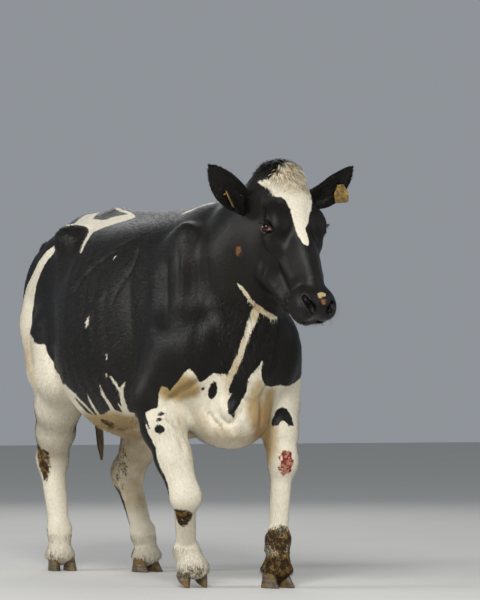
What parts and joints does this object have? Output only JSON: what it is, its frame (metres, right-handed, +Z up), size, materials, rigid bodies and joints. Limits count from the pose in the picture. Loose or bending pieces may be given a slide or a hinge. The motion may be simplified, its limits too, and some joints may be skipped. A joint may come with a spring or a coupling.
{
  "type": "cow",
  "caption": "Life-size Holstein-Friesian cow walking with its head turned towards the viewer: black and white coat, blaze, plain yellow ear tags, no horns.",
  "frame": {"origin": "on the floor below the middle of the bounding box", "axes": "+Z up, -Y the way the cow walks, +X the cow's left side"},
  "size_m": [0.754, 2.3012, 1.5745],
  "materials": {
    "coat": "short sleek hair, black with white and cream markings",
    "bare_skin": "fine pink skin with sparse pale hair",
    "horn": "dull striated claw horn, muddy",
    "eyeball": "wet, nearly black brown",
    "tag_plastic": "weathered soft yellow plastic, no print"
  },
  "bodies": {
    "root": {"trunk": "coat", "neck": "coat", "head": "coat", "eye_left": "eyeball", "ear_left": "coat", "ear_tag_left": "tag_plastic", "eye_right": "eyeball", "ear_right": "coat", "ear_tag_right": "tag_plastic", "claw_fore_left_outer": "horn", "dewclaw_fore_left_outer": "horn", "claw_fore_left_inner": "horn", "dewclaw_fore_left_inner": "horn", "forearm_left": "coat", "forefoot_left": "coat", "claw_fore_right_inner": "horn", "dewclaw_fore_right_inner": "horn", "claw_fore_right_outer": "horn", "dewclaw_fore_right_outer": "horn", "forearm_right": "coat", "forefoot_right": "coat", "claw_hind_left_outer": "horn", "dewclaw_hind_left_outer": "horn", "claw_hind_left_inner": "horn", "dewclaw_hind_left_inner": "horn", "gaskin_left": "coat", "hindfoot_left": "coat", "claw_hind_right_inner": "horn", "dewclaw_hind_right_inner": "horn", "claw_hind_right_outer": "horn", "dewclaw_hind_right_outer": "horn", "gaskin_right": "coat", "hindfoot_right": "coat", "udder": "bare_skin", "tail": "coat", "tail_switch": "coat"}
  },
  "joints": []
}
